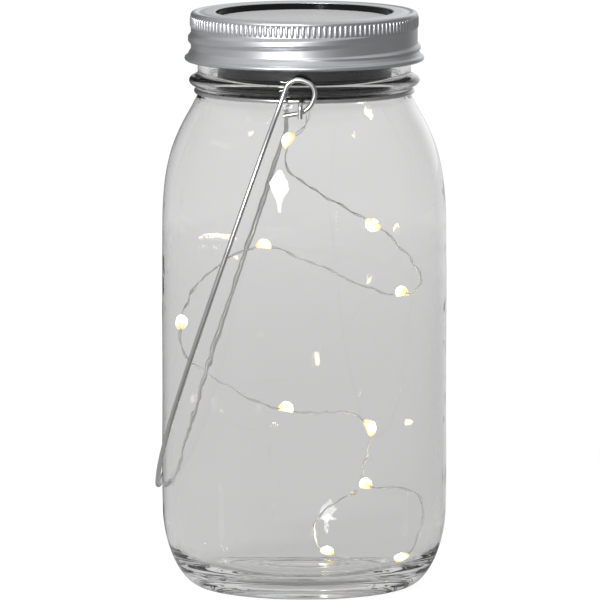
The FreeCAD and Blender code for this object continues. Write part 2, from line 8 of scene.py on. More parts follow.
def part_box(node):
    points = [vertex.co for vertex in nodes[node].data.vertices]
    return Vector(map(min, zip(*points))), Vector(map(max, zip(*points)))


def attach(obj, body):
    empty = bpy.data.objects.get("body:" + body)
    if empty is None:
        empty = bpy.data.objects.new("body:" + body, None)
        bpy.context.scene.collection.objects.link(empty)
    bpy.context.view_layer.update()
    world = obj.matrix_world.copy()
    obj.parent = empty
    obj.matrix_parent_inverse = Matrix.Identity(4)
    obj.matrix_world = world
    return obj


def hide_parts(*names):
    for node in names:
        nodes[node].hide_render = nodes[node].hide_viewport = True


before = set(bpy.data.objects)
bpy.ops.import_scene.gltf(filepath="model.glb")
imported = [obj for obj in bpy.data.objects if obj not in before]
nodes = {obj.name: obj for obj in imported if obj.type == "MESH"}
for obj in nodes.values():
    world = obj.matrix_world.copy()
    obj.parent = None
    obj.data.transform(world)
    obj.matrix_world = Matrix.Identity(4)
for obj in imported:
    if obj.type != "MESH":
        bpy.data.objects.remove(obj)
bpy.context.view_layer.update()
MM = 0.001
UP = Vector((0, 0, 1))
SIDEWAYS = Vector((1, 0, 0))

# Camera, set to the photograph's frame of 600 by 600 pixels
PHOTO_PIXELS = 600
METRES_PER_PIXEL = 0.3053 * MM
AXIS_PIXEL_X = 304.3
AIM_PIXEL_Y = 299.5
AIM = Vector((0, 0, 88 * MM))
CAMERA_AZIMUTH = math.radians(4.75)
CAMERA_REACH = 3.4
CAMERA_HEIGHT = 0.515
CAMERA_SIGHT = 50
SENSOR_MM = 36

# Studio: the key light in metres and watts, and levels of light where 1 is white
KEY_PLACE = (-0.68, -2.24, 0.72)
KEY_SIDE = 0.48
KEY_POWER = 62
KEY_ROLL = math.radians(45)
ROOM_LEVEL = 0.18
SIDE_WALL_LEVEL = 0.2
FAR_WALL_LEVEL = 1.0
FAR_WALL_ON_FLOOR = 0.45
DARK_FLAG = 0.12
CEILING_LEVEL = 0.5
BACKDROP_LEVEL = 0.5
BACKDROP_RISE = 0.25
FLOOR_REACH = 9.0
FLOOR_COLOUR = 0.16
FLOOR_SEEN = 0.93
# Floor's glow: how much dimmer than the room it is painted where metal and glass mirror it, and how much its
# backdrop rises further back
FLOOR_DIMMER = 0.06
FLOOR_RISE = 0.17
# Painted shadow in the floor's glow by the jar's foot: its depth under the jar, and along the front of the
# foot
FOOT_SHADE = 0.2
FOOT_LINE_SHADE = 0.5

# Soft edges in the studio, as parts of a direction one long, and in metres on the floor
SIDE_WALL_EDGE = (0.5, 0.85)
FAR_WALL_EDGE = (0.7, 0.95)
FAR_WALL_LEFT_EDGE = (-0.15, 0.1)
FLAG_EDGE = (0.6, 0.9)
FLAG_RIGHT_EDGE = (0.05, 0.2)
CEILING_EDGE = (0.3, 0.9)
BACKDROP_EDGE = (0.2, 0.9)
FLOOR_RISE_EDGE = (0.3, 1.4)
# Edges of the painted shadow by the jar's foot, in metres from its axis
FOOT_SHADE_EDGE = (0.026, 0.040)
FOOT_LINE_INSIDE = (0.024, 0.030)
FOOT_LINE_OUTSIDE = (0.034, 0.046)
FOOT_FRONT = (0.0, 0.02)

# Crossings of glass that light may make on its way
GLASS_CROSSINGS = 32
GLASS_MIRRORINGS = 24

# Thread of the jar and the band, in millimetres, and in degrees round the axis from +X
THREAD_PITCH = 6.35
THREAD_HEIGHT_AT_X = 165.0
JAR_THREAD = {"span": (-60, 300), "crest_half": 0.5, "root_half": 1.6, "fade": 24}
JAR_THREAD_REACH = 2.2
BAND_THREAD = {"span": (-110, 322), "crest_half": 0.55, "root_half": 2.1, "fade": 40}
BAND_THREAD_REACH = 0.9

# Jar's outline, radius and height in millimetres: underside, outside, neck, rim, inside and floor
FOOT_RADIUS = 28.5
BODY_RADIUS = 43.35
BODY_BORE = 40.75
NECK_RADIUS = 32.5
NECK_BORE = 29.5
NECK_LOW = 161.5
NECK_HIGH = 172.2
NECK_ROWS = 56
JAR_SEGMENTS = 192
JAR_UNDERSIDE = [(0, 1.6), (12, 1.5), (20, 1.15), (24.6, 0.5), (26.4, 0.05), (FOOT_RADIUS, 0)]
JAR_OUTSIDE = [
    (FOOT_RADIUS, 0), (31, 0.1), (33.2, 0.75), (35.2, 2.0), (37.0, 3.8), (38.6, 6.1), (40.1, 9.0),
    (41.3, 12.2), (42.3, 15.8), (42.95, 19.4), (43.25, 22.5), (BODY_RADIUS, 26), (BODY_RADIUS, 60),
    (BODY_RADIUS, 108), (43.25, 115.5), (42.85, 122), (41.9, 128.8), (40.3, 135), (38.4, 139.8),
    (36.4, 143.8), (34.4, 147.4), (33.1, 149.9), (32.4, 151.2), (32.15, 152.3), (32.35, 153.2),
    (33.1, 153.8), (34.4, 154.3), (35.05, 155.1), (35.05, 155.9), (34.4, 156.7), (33.2, 157.2),
    (32.6, 157.8), (NECK_RADIUS, 159), (NECK_RADIUS, NECK_LOW)]
JAR_RIM = [
    (NECK_RADIUS, NECK_HIGH), (32.3, 172.75), (31.7, 173.05), (30.3, 173.05), (29.7, 172.75),
    (NECK_BORE, NECK_HIGH)]
JAR_INSIDE = [
    (NECK_BORE, NECK_HIGH), (NECK_BORE, 165), (NECK_BORE, 156), (29.6, 152.8), (30.3, 149.6), (31.7, 146.2),
    (33.6, 142.6), (35.6, 138.6), (37.4, 134), (39.0, 127.8), (40.05, 121), (40.6, 114.6), (BODY_BORE, 107),
    (BODY_BORE, 60), (BODY_BORE, 24), (40.5, 17.6), (39.6, 13.4), (37.8, 10.0), (34.8, 7.1), (31, 5.6),
    (27, 5.05), (26.2, 5.3), (25.4, 5.05), (20, 5.0), (14, 5.0), (13.2, 5.2), (12.4, 5.0), (0, 5.0)]

# Band's outline below and above its thread, radius and height in millimetres
BAND_SHEET = 0.35
BAND_WALL = 34.55
BAND_THREAD_LOW = 165.1
BAND_THREAD_HIGH = 171.3
BAND_THREAD_ROWS = 44
BAND_SEGMENTS = 360
BAND_HEM = [
    (35.22, 163.0), (35.2, 162.0), (35.5, 161.65), (36.0, 161.62), (36.4, 161.9), (36.52, 162.35),
    (36.35, 162.85), (35.95, 163.1), (35.6, 163.3), (35.4, 163.7), (35.1, 164.3), (34.75, 164.9)]
BAND_TOP = [
    (BAND_WALL, 171.6), (34.5, 171.9), (34.5, 173.5), (34.5, 175.0), (34.62, 175.25), (34.62, 175.55),
    (34.45, 175.98), (34.1, 176.28), (33.5, 176.42), (32.9, 176.38), (32.4, 176.2), (31.6, 176.2),
    (30.8, 176.34), (28.2, 176.36), (27.5, 176.38), (27.15, 176.3), (27.1, 176.12), (27.3, 176.05),
    (30, 176.05), (33.2, 176.05), (33.9, 175.7), (34.15, 175.0), (34.2, 173.5), (34.2, 171.6)]
BAND_SKIRT_INSIDE = [(34.4, 164.9), (34.75, 164.3), (35.05, 163.7), (35.22, 163.0)]

# Steps between two points of an outline
JAR_STEPS = 4
RIM_STEPS = 3
BAND_STEPS = 2

# Ribs of the band's knurl
KNURL = {"Count": 130, "Radius": 34.45 * MM, "Height": 173.45 * MM,
         "Rib half size": (0.42 * MM, 0.60 * MM, 1.85 * MM), "Bluntness": 0.45}
RIB_SEGMENTS = 10
RIB_RINGS = 7

# Light wire: two strands twisted round each other, with small kinks, and looser where they leave the lid
STRAND_RADIUS = 0.17 * MM
STRAND_OFFSET = 0.23 * MM
STRAND_TWIST = 13 * MM
STRAND_SIDES = 7
LOOSE_END = 26 * MM
LOOSE_SPREAD = 1.7
KINK_REACH = 0.24 * MM
KINK_STEPS = (2.6 * MM, 1.6 * MM)

# Light wire's route, the control points of its spline, in millimetres
ROUTE_STEPS = 14
WIRE_ROUTE = [
    (0.0, -5.0, 150.8), (0.0, -5.0, 146.8), (1.6, -3.6, 143.2), (0.4, -2.0, 140.2), (-4.9, -0.4, 136.7),
    (-6.5, -0.6, 131.5), (-3.7, -4.3, 127.0), (2.5, -11.8, 124.3), (12.1, -21.0, 119.9),
    (23.0, -28.1, 115.4), (29.4, -24.5, 108.9), (34.4, -15.1, 101.1), (36.6, -2.8, 93.5),
    (30.0, 10.7, 88.1), (20.8, 21.9, 88.1), (10.1, 28.0, 91.6), (-3.9, 29.8, 97.7),
    (-15.1, 26.8, 102.0), (-22.5, 23.1, 99.9), (-31.0, 15.4, 94.6), (-36.2, 5.9, 88.9),
    (-37.8, -3.3, 81.1), (-36.7, -11.2, 73.8), (-30.5, -15.7, 68.3), (-20.5, -17.9, 62.9),
    (-12.6, -17.2, 58.3), (-4.4, -13.4, 55.7), (2.7, -3.8, 53.6), (8.8, 10.8, 52.3),
    (14.2, 22.8, 50.2), (18.2, 28.6, 45.0), (18.6, 23.6, 39.6), (17.7, 11.0, 36.6),
    (17.7, -3.6, 35.1), (19.1, -16.4, 32.8), (25.0, -22.4, 33.8), (32.0, -19.6, 33.2),
    (36.4, -12.0, 29.2), (36.4, -7.6, 22.0), (33.8, -8.6, 14.6), (31.2, -12.8, 9.4),
    (25.4, -12.4, 6.4), (18.6, -3.0, 6.8), (12.4, 10.0, 6.6), (5.4, 19.6, 8.6),
    (1.2, 18.4, 12.6), (2.2, 11.2, 18.4), (8.0, 2.7, 24.6), (14.3, -2.8, 28.6)]

# Drops of resin on the wire, in millimetres: a dome over the wire, and a flat side just under it
DROP_COUNT = 10
DROPS_HANGING = (2,)
DROP_HALF_LENGTH = 2.6
DROP_HALF_WIDTH = 1.9
DROP_DOME = 2.45
DROP_BELLY = 1.6
DROP_FLAT = 0.55
DROP_SEGMENTS = 24
DROP_RINGS = 14

# How a drop takes its direction from the line's points, and where it glows, as parts of its half sizes
DROP_LINE_SPAN = 3
LEAST_SQUARE = 0.2
GLOW_ALONG = (1.0, 0.3)
GLOW_UP = (-0.75, 0.35)


class Link:
    """A node's socket that takes part in Python arithmetic."""

    def __init__(self, finish, socket):
        self.finish = finish
        self.socket = socket

    def __add__(self, other):
        return self.finish.math("ADD", self, other)

    def __sub__(self, other):
        return self.finish.math("SUBTRACT", self, other)

    def __rsub__(self, other):
        return self.finish.math("SUBTRACT", other, self)

    def __mul__(self, other):
        return self.finish.math("MULTIPLY", self, other)

    def __pow__(self, other):
        return self.finish.math("POWER", self, other)

    __radd__ = __add__
    __rmul__ = __mul__

    def between(self, low, high):
        """Zero up to low, one from high on, and a smooth rise between them."""
        settings = {"interpolation_type": "SMOOTHSTEP"}
        return self.finish.node("ShaderNodeMapRange", settings, {0: self, 1: low, 2: high})


class Finish:
    """A node tree with one way to add a node."""

    def __init__(self, tree):
        self.tree = tree

    def node(self, kind, settings=None, sockets=None, output=0):
        made = self.tree.nodes.new(kind)
        for name, value in (settings or {}).items():
            if name == "stops":
                self.stops(made.color_ramp, value)
            else:
                setattr(made, name, value)
        for name, value in (sockets or {}).items():
            self.feed(made.inputs[name], value)
        return Link(self, made.outputs[output])

    def stops(self, ramp, stops):
        while len(ramp.elements) < len(stops):
            ramp.elements.new(0.5)
        for element, (place, colour) in zip(ramp.elements, stops):
            element.position = place
            element.color = (*colour, 1)

    def feed(self, socket, value):
        if isinstance(value, Link):
            self.tree.links.new(value.socket, socket)
        else:
            socket.default_value = value

    def math(self, operation, first, second=0.0):
        return self.node("ShaderNodeMath", {"operation": operation}, {0: first, 1: second})

    def place(self, output="Object"):
        return self.node("ShaderNodeTexCoord", output=output)

    def axis(self, letter, place):
        return self.node("ShaderNodeSeparateXYZ", sockets={0: place}, output="XYZ".index(letter))

    def noise(self, scale, detail):
        sockets = {"Vector": self.place(), "Scale": scale, "Detail": detail}
        return self.node("ShaderNodeTexNoise", sockets=sockets)

    def mix(self, factor, first, second):
        sockets = {0: factor, 6: first, 7: second}
        return self.node("ShaderNodeMix", {"data_type": "RGBA"}, sockets, output=2)

    def even(self, level):
        """The same level in all three channels of a colour."""
        return self.node("ShaderNodeCombineXYZ", sockets={0: level, 1: level, 2: level})

    def bump(self, height, strength, distance):
        sockets = {"Strength": strength, "Distance": distance, "Height": height}
        return self.node("ShaderNodeBump", sockets=sockets)


class Surface(Finish):
    """A material's node tree, with its main shader."""

    def __init__(self, name, sockets):
        self.material = bpy.data.materials.new(name)
        self.material.use_nodes = True
        super().__init__(self.material.node_tree)
        self.shader = self.tree.nodes["Principled BSDF"]
        self.paint(sockets)

    def paint(self, sockets):
        for name, value in sockets.items():
            self.feed(self.shader.inputs[name], value)


def grey(level):
    return (level, level, level, 1)


def jar_glass():
    """Pressed glass, with the slow ripple of its mould and a finer one on it."""
    finish = Surface("jar_glass", {
        "Base Color": (0.962, 0.964, 0.960, 1), "Roughness": 0.0, "IOR": 1.5, "Transmission Weight": 1.0})
    ripple = finish.noise(scale=28, detail=2.0) + finish.noise(scale=150, detail=1.0) * 0.45
    finish.paint({"Normal": finish.bump(ripple, strength=0.13, distance=1 * MM)})
    return finish.material


def band_steel():
    """Tinned sheet, faintly clouded and grained."""
    finish = Surface("band_steel", {"Metallic": 1.0})
    cloud = finish.noise(scale=60, detail=4.0)
    grain = finish.noise(scale=1400, detail=2.0)
    finish.paint({
        "Base Color": finish.mix(cloud, (0.60, 0.61, 0.63, 1), (0.69, 0.70, 0.72, 1)),
        "Roughness": 0.33 + cloud * 0.08 + grain * 0.04,
        "Normal": finish.bump(grain, strength=0.04, distance=0.2 * MM)})
    return finish.material


def bright_wire(name, dark, light, rough):
    """Drawn wire, from a dark to a light tone of grey."""
    finish = Surface(name, {"Metallic": 1.0})
    cloud = finish.noise(scale=240, detail=3.0)
    drawn = finish.noise(scale=2600, detail=2.0)
    finish.paint({
        "Base Color": finish.mix(cloud, grey(dark), grey(light)),
        "Roughness": rough + cloud * 0.10,
        "Normal": finish.bump(drawn, strength=0.05, distance=0.1 * MM)})
    return finish.material


def moulded(name, dark, light, rough, index=1.48):
    """Moulded plastic, rubber or resin with fine pores, from a dark to a light colour."""
    finish = Surface(name, {"IOR": index})
    cloud = finish.noise(scale=90, detail=3.0)
    pores = finish.noise(scale=2400, detail=2.0)
    finish.paint({
        "Base Color": finish.mix(cloud, dark, light),
        "Roughness": rough + cloud * 0.12,
        "Normal": finish.bump(pores, strength=0.08, distance=0.1 * MM)})
    return finish.material


def solar_silicon():
    """Dark blue crystals under a coat, with a pale collector bar every 4 mm."""
    bars_per_metre = 250
    finish = Surface("solar_silicon", {"Coat Roughness": 0.05})
    grains = {"Vector": finish.place(), "Scale": 260.0}
    crystal = finish.node("ShaderNodeTexVoronoi", sockets=grains, output="Color")
    tone = finish.node("ShaderNodeRGBToBW", sockets={0: crystal})
    rows = finish.axis("Y", finish.place()) * bars_per_metre
    bar = 1 - finish.math("PINGPONG", rows, 0.5).between(0.02, 0.06)
    cell = finish.mix(tone, (0.006, 0.009, 0.022, 1), (0.016, 0.024, 0.06, 1))
    finish.paint({
        "Base Color": finish.mix(bar, cell, grey(0.45)),
        "Metallic": bar * 0.8,
        "Roughness": 0.28 + tone * 0.1,
        "Coat Weight": 0.6 + tone * 0.2})
    return finish.material


def clear_resin():
    """Clear resin with a dusty face, which looks hazy from low down."""
    finish = Surface("clear_resin", {
        "Base Color": (0.9, 0.92, 0.93, 1), "IOR": 1.5, "Transmission Weight": 1.0})
    dust = finish.noise(scale=700, detail=4.0)
    finish.paint({"Roughness": 0.10 + dust * 0.10})
    grazing = finish.node("ShaderNodeLayerWeight", sockets={"Blend": 0.5}, output="Facing")
    share = grazing.between(0.72, 0.92) * (0.7 + dust * 0.3)
    clear = Link(finish, finish.shader.outputs[0])
    haze = finish.node("ShaderNodeBsdfDiffuse", sockets={"Color": grey(0.75)})
    mixed = finish.node("ShaderNodeMixShader", sockets={0: share, 1: clear, 2: haze})
    finish.feed(finish.tree.nodes["Material Output"].inputs["Surface"], mixed)
    return finish.material


def lit_drop():
    """Resin that glows warm at its edges and white in its middle."""
    finish = Surface("lit_drop", {
        "Base Color": (1.0, 0.86, 0.5, 1), "Roughness": 0.25, "Emission Strength": 40.0})
    glow = finish.node("ShaderNodeAttribute", {"attribute_name": "glow"}, output="Fac")
    warmth = [
        (0.0, (0.020, 0.013, 0.005)), (0.3, (0.025, 0.021, 0.012)), (0.6, (0.028, 0.026, 0.019)),
        (0.8, (0.06, 0.055, 0.04)), (1.0, (1.0, 0.86, 0.55))]
    finish.paint({"Emission Color": finish.node("ShaderNodeValToRGB", {"stops": warmth}, {0: glow})})
    return finish.material


def phosphor():
    """The yellow face of a lit chip."""
    finish = Surface("phosphor", {"Emission Strength": 6.0, "Roughness": 0.6})
    dots = finish.noise(scale=3000, detail=2.0)
    finish.paint({
        "Base Color": finish.mix(dots, (0.9, 0.7, 0.15, 1), (1, 0.85, 0.3, 1)),
        "Emission Color": finish.mix(dots, (1, 0.8, 0.45, 1), (1, 0.9, 0.6, 1))})
    return finish.material


def add_to_scene(name, data):
    thing = bpy.data.objects.new(name, data)
    bpy.context.scene.collection.objects.link(thing)
    return thing


def new_piece(name, mesh, material, body):
    piece = add_to_scene(name, mesh)
    mesh.materials.clear()
    mesh.materials.append(material)
    mesh.polygons.foreach_set("use_smooth", [True] * len(mesh.polygons))
    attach(piece, body)
    return piece


def finished_mesh(name, shape):
    """A mesh from a bmesh, with its faces pointing outwards."""
    mesh = bpy.data.meshes.new(name)
    bmesh.ops.recalc_face_normals(shape, faces=shape.faces)
    shape.to_mesh(mesh)
    shape.free()
    return mesh


def plain_mesh(thing):
    """The mesh that an object's curve or modifiers come to."""
    bpy.context.view_layer.update()
    ready = thing.evaluated_get(bpy.context.evaluated_depsgraph_get())
    return bpy.data.meshes.new_from_object(ready)


def spread(low, high, count):
    return [low + (high - low) * step / count for step in range(count + 1)]


def smooth_step(low, high, value):
    share = min(1.0, max(0.0, (value - low) / (high - low)))
    return share * share * (3 - 2 * share)


def eased(points, steps):
    """Points of a smooth line through the given ones, with as many steps between each two."""
    spots = [Vector(point) for point in points]
    runs = [(there - here).length for here, there in zip(spots, spots[1:])]
    ways = [(there - here) / run for here, there, run in zip(spots, spots[1:], runs)]
    slopes = [ways[0]]
    for index in range(1, len(ways)):
        before = runs[index - 1]
        after = runs[index]
        slopes.append((ways[index - 1] * after + ways[index] * before) / (before + after))
    slopes.append(ways[-1])
    line = []
    for index, run in enumerate(runs):
        for step in range(steps):
            t = step / steps
            start = spots[index] * (2 * t ** 3 - 3 * t ** 2 + 1)
            leaving = slopes[index] * (run * (t ** 3 - 2 * t ** 2 + t))
            end = spots[index + 1] * (3 * t ** 2 - 2 * t ** 3)
            arriving = slopes[index + 1] * (run * (t ** 3 - t ** 2))
            line.append(tuple((start + leaving) + (end + arriving)))
    return line + [points[-1]]


def thread_bulge(angle, height, span, crest_half, root_half, fade):
    """How far the thread stands out at a place on the neck, from 0 to 1."""
    most = 0.0
    for turn in (-1, 0, 1):
        place = math.degrees(angle) + 360 * turn
        if span[0] <= place <= span[1]:
            centre = THREAD_HEIGHT_AT_X + THREAD_PITCH * place / 360
            side = smooth_step(root_half, crest_half, abs(height - centre))
            ends = smooth_step(0, fade, min(place - span[0], span[1] - place))
            most = max(most, side * ends)
    return most


def plain(points):
    """Rows that no thread lifts."""
    return [(radius, height, 0) for radius, height in points]


def turned(name, rows, segments, thread):
    """A mesh turned about the Z axis from rows of radius, height and how far the thread lifts each row."""
    shape = bmesh.new()
    rings = []
    for radius, height, lift in rows:
        if radius == 0:
            rings.append([shape.verts.new((0, 0, height * MM))])
            continue
        ring = []
        for index in range(segments):
            angle = 2 * math.pi * index / segments
            reach = radius + (lift * thread_bulge(angle, height, **thread) if lift else 0)
            spot = (reach * math.cos(angle) * MM, reach * math.sin(angle) * MM, height * MM)
            ring.append(shape.verts.new(spot))
        rings.append(ring)
    for low, high in zip(rings, rings[1:]):
        for index in range(segments):
            after = (index + 1) % segments
            if len(low) == 1:
                shape.faces.new((low[0], high[after], high[index]))
            elif len(high) == 1:
                shape.faces.new((low[index], low[after], high[0]))
            else:
                shape.faces.new((low[index], low[after], high[after], high[index]))
    bmesh.ops.remove_doubles(shape, verts=shape.verts, dist=1e-7)
    return finished_mesh(name, shape)


def jar_piece():
    neck = [(NECK_RADIUS, height, JAR_THREAD_REACH) for height in spread(NECK_LOW, NECK_HIGH, NECK_ROWS)]
    rows = plain(eased(JAR_UNDERSIDE, JAR_STEPS)[:-1]) + plain(eased(JAR_OUTSIDE, JAR_STEPS)[:-1]) + neck
    rows += plain(eased(JAR_RIM, RIM_STEPS)[1:]) + plain(eased(JAR_INSIDE, JAR_STEPS)[1:])
    mesh = turned("jar", rows, JAR_SEGMENTS, JAR_THREAD)
    piece = new_piece("jar", mesh, jar_glass(), "jar")
    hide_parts("glass_jar")


def band_piece(material):
    heights = spread(BAND_THREAD_LOW, BAND_THREAD_HIGH, BAND_THREAD_ROWS)
    outside = [(BAND_WALL, height, BAND_THREAD_REACH) for height in heights]
    inside = [(BAND_WALL - BAND_SHEET, height, BAND_THREAD_REACH) for height in reversed(heights)]
    rows = plain(BAND_HEM) + outside + plain(eased(BAND_TOP, BAND_STEPS)) + inside + plain(BAND_SKIRT_INSIDE)
    mesh = turned("band", rows, BAND_SEGMENTS, BAND_THREAD)
    piece = new_piece("band", mesh, material, "band")
    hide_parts("screw_band")


def rib_tree(name, sizes, material):
    """A node tree that sets blunt ribs round the Z axis, and the identifiers of its named sizes."""
    tree = bpy.data.node_groups.new(name, "GeometryNodeTree")
    tree.interface.new_socket("Geometry", in_out="OUTPUT", socket_type="NodeSocketGeometry")
    kinds = {int: "NodeSocketInt", float: "NodeSocketFloat", tuple: "NodeSocketVector"}
    identifiers = {}
    for label, value in sizes.items():
        socket = tree.interface.new_socket(label, in_out="INPUT", socket_type=kinds[type(value)])
        identifiers[label] = socket.identifier
    finish = Finish(tree)
    given = tree.nodes.new("NodeGroupInput")

    def size(label):
        return Link(finish, given.outputs[label])

    def blunted(value):
        return finish.math("SIGN", value) * finish.math("ABSOLUTE", value) ** size("Bluntness")

    circle = finish.node("GeometryNodeMeshCircle", sockets={
        "Vertices": size("Count"), "Radius": size("Radius")})
    centre = finish.node("ShaderNodeCombineXYZ", sockets={"Z": size("Height")})
    raised = finish.node("GeometryNodeTransform", sockets={"Geometry": circle, "Translation": centre})
    ball = finish.node("GeometryNodeMeshUVSphere", sockets={
        "Segments": RIB_SEGMENTS, "Rings": RIB_RINGS, "Radius": 1.0})
    spot = finish.node("GeometryNodeInputPosition")
    blunt = finish.node("ShaderNodeCombineXYZ", sockets={
        "X": finish.axis("X", spot),
        "Y": blunted(finish.axis("Y", spot)),
        "Z": blunted(finish.axis("Z", spot))})
    rib = finish.node("GeometryNodeSetPosition", sockets={"Geometry": ball, "Position": blunt})
    smooth = finish.node("GeometryNodeSetShadeSmooth", sockets={"Geometry": rib})
    flat = finish.node("ShaderNodeVectorMath", {"operation": "MULTIPLY"}, {0: spot, 1: (1, 1, 0)})
    outward = finish.node("FunctionNodeAlignRotationToVector", {"axis": "X", "pivot_axis": "Z"}, {
        "Vector": flat})
    copies = finish.node("GeometryNodeInstanceOnPoints", sockets={
        "Points": raised, "Instance": smooth, "Rotation": outward, "Scale": size("Rib half size")})
    real = finish.node("GeometryNodeRealizeInstances", sockets={"Geometry": copies})
    dressed = finish.node("GeometryNodeSetMaterial", sockets={"Geometry": real, "Material": material})
    result = tree.nodes.new("NodeGroupOutput")
    tree.links.new(dressed.socket, result.inputs[0])
    return tree, identifiers


def knurl_piece(material):
    tree, identifiers = rib_tree("band_knurl", KNURL, material)
    maker = add_to_scene("band_knurl_maker", bpy.data.meshes.new("band_knurl_maker"))
    modifier = maker.modifiers.new("ribs", "NODES")
    modifier.node_group = tree
    for label, value in KNURL.items():
        modifier[identifiers[label]] = value
    mesh = plain_mesh(maker)
    bpy.data.objects.remove(maker)
    new_piece("band_knurl", mesh, material, "band")


def route_line():
    """Points along the light wire's smooth line."""
    curve = bpy.data.curves.new("route", "CURVE")
    curve.dimensions = "3D"
    spline = curve.splines.new("NURBS")
    spline.points.add(len(WIRE_ROUTE) - 1)
    for point, place in zip(spline.points, WIRE_ROUTE):
        point.co = (*(Vector(place) * MM), 1)
    spline.order_u = 3
    spline.use_endpoint_u = True
    spline.resolution_u = ROUTE_STEPS
    guide = add_to_scene("route", curve)
    points = [vertex.co.copy() for vertex in plain_mesh(guide).vertices]
    bpy.data.objects.remove(guide)
    return points


def way_along(line, index, span):
    """The line's direction at a point, from the points a span before and after it."""
    return (line[min(index + span, len(line) - 1)] - line[max(index - span, 0)]).normalized()


def line_frames(line):
    """Each point with two directions square to the line, carried along without spinning."""
    frames = []
    across = SIDEWAYS
    for index, point in enumerate(line):
        along = way_along(line, index, 1)
        across = (across - along * along.dot(across)).normalized()
        frames.append((point, across, along.cross(across)))
    return frames


def strand(shape, frames, start):
    """One closed strand of the pair, which winds round the line from a starting angle."""
    run = 0.0
    before = None
    last = frames[0][0]
    for point, across, up in frames:
        run += (point - last).length
        last = point
        turn = start + 2 * math.pi * run / STRAND_TWIST
        out = across * math.cos(turn) + up * math.sin(turn)
        loose = 1 + LOOSE_SPREAD * smooth_step(LOOSE_END, 0, run)
        kink = across * math.sin(run / KINK_STEPS[0]) + up * math.sin(run / KINK_STEPS[1])
        centre = point + out * STRAND_OFFSET * loose + kink * KINK_REACH
        ring = []
        for side in range(STRAND_SIDES):
            angle = 2 * math.pi * side / STRAND_SIDES
            spoke = across * math.cos(angle) + up * math.sin(angle)
            ring.append(shape.verts.new(centre + spoke * STRAND_RADIUS))
        if before is None:
            shape.faces.new(ring[::-1])
        else:
            for side in range(STRAND_SIDES):
                after = (side + 1) % STRAND_SIDES
                shape.faces.new((before[side], before[after], ring[after], ring[side]))
        before = ring
    shape.faces.new(before)


def twisted_pair(line, material):
    shape = bmesh.new()
    frames = line_frames(line)
    for start in (0, math.pi):
        strand(shape, frames, start)
    piece = new_piece("light_pair", finished_mesh("light_pair", shape), material, "lid")
    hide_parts("light_wire")
    return piece


def drop_piece(number, line, material):
    """A domed drop of resin on the wire, where its node lies."""
    node = "led_drop_%02d" % number
    name = "drop_%02d" % number
    low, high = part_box(node)
    centre = (low + high) / 2
    index = min(range(len(line)), key=lambda spot: (line[spot] - centre).length)
    along = way_along(line, index, DROP_LINE_SPAN)
    side = UP - along * along.dot(UP)
    if side.length < LEAST_SQUARE:
        side = SIDEWAYS - along * along.x
    side = side.normalized() * (-1 if number in DROPS_HANGING else 1)
    across = side.cross(along)
    shape = bmesh.new()
    bmesh.ops.create_uvsphere(shape, u_segments=DROP_SEGMENTS, v_segments=DROP_RINGS, radius=1.0)
    glow = shape.verts.layers.float.new("glow")
    for vert in shape.verts:
        z, y, x = vert.co
        vert[glow] = smooth_step(*GLOW_ALONG, abs(x)) * smooth_step(*GLOW_UP, z)
        dome = z * DROP_DOME if z > 0 else max(-DROP_FLAT, z * DROP_BELLY)
        place = along * (DROP_HALF_LENGTH * x) + across * (DROP_HALF_WIDTH * y) + side * dome
        vert.co = line[index] + place * MM
    piece = new_piece(name, finished_mesh(name, shape), material, "lid")
    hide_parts(node)
    return piece


def light_string(wire):
    line = route_line()
    pair = twisted_pair(line, wire)
    glow = lit_drop()
    drops = [drop_piece(number, line, glow) for number in range(1, DROP_COUNT + 1)]


def dress_nodes(wire):
    """Finishes of the nodes that stay as they are."""
    black = moulded("black_plastic", grey(0.004), grey(0.007), 0.06, index=1.25)
    board = moulded("board_green", (0.02, 0.09, 0.04, 1), (0.03, 0.13, 0.06, 1), 0.35)
    plated = bright_wire("plated_steel", dark=0.5, light=0.65, rough=0.25)
    finishes = {
        "neck_wire": wire,
        "bail_handle": wire,
        "lid_housing": black,
        "bottom_cover": black,
        "switch_knob": black,
        "rim_gasket": moulded("gasket_rubber", grey(0.5), grey(0.6), 0.6),
        "solar_backing": board,
        "circuit_board": board,
        "solar_cells": solar_silicon(),
        "panel_resin": clear_resin(),
        "cover_screws": plated,
        "switch_body": plated,
        "battery_cell": plated,
        "battery_plate": plated,
        "battery_spring": plated,
        "string_leads": plated,
        "driver_chip": moulded("chip_black", grey(0.015), grey(0.025), 0.5),
        "inductor": moulded("inductor_green", (0.05, 0.22, 0.08, 1), (0.08, 0.3, 0.12, 1), 0.3),
        "battery_sleeve": moulded("sleeve_green", (0.02, 0.2, 0.06, 1), (0.03, 0.26, 0.08, 1), 0.3),
        "wire_grommet": moulded("grommet_rubber", grey(0.02), grey(0.03), 0.6),
        "panel_lead_red": moulded("lead_red", (0.4, 0.01, 0.01, 1), (0.5, 0.02, 0.02, 1), 0.35),
        "panel_lead_black": moulded("lead_black", grey(0.012), grey(0.02), 0.35),
        "led_chips": phosphor(),
        "wire_tip": moulded("tip_resin", (0.8, 0.76, 0.6, 1), (0.9, 0.86, 0.72, 1), 0.25)}
    for name, material in finishes.items():
        slots = nodes[name].data.materials
        slots.clear()
        slots.append(material)


def ray_kind(finish, name):
    """One for rays of the named kind, zero for others."""
    return finish.node("ShaderNodeLightPath", output=name)


def studio_frame(finish, place):
    """A place turned about the Z axis, so that X is to the photograph's right and Y leads into it."""
    settings = {"rotation_type": "Z_AXIS"}
    return finish.node("ShaderNodeVectorRotate", settings, {0: place, "Angle": -CAMERA_AZIMUTH})


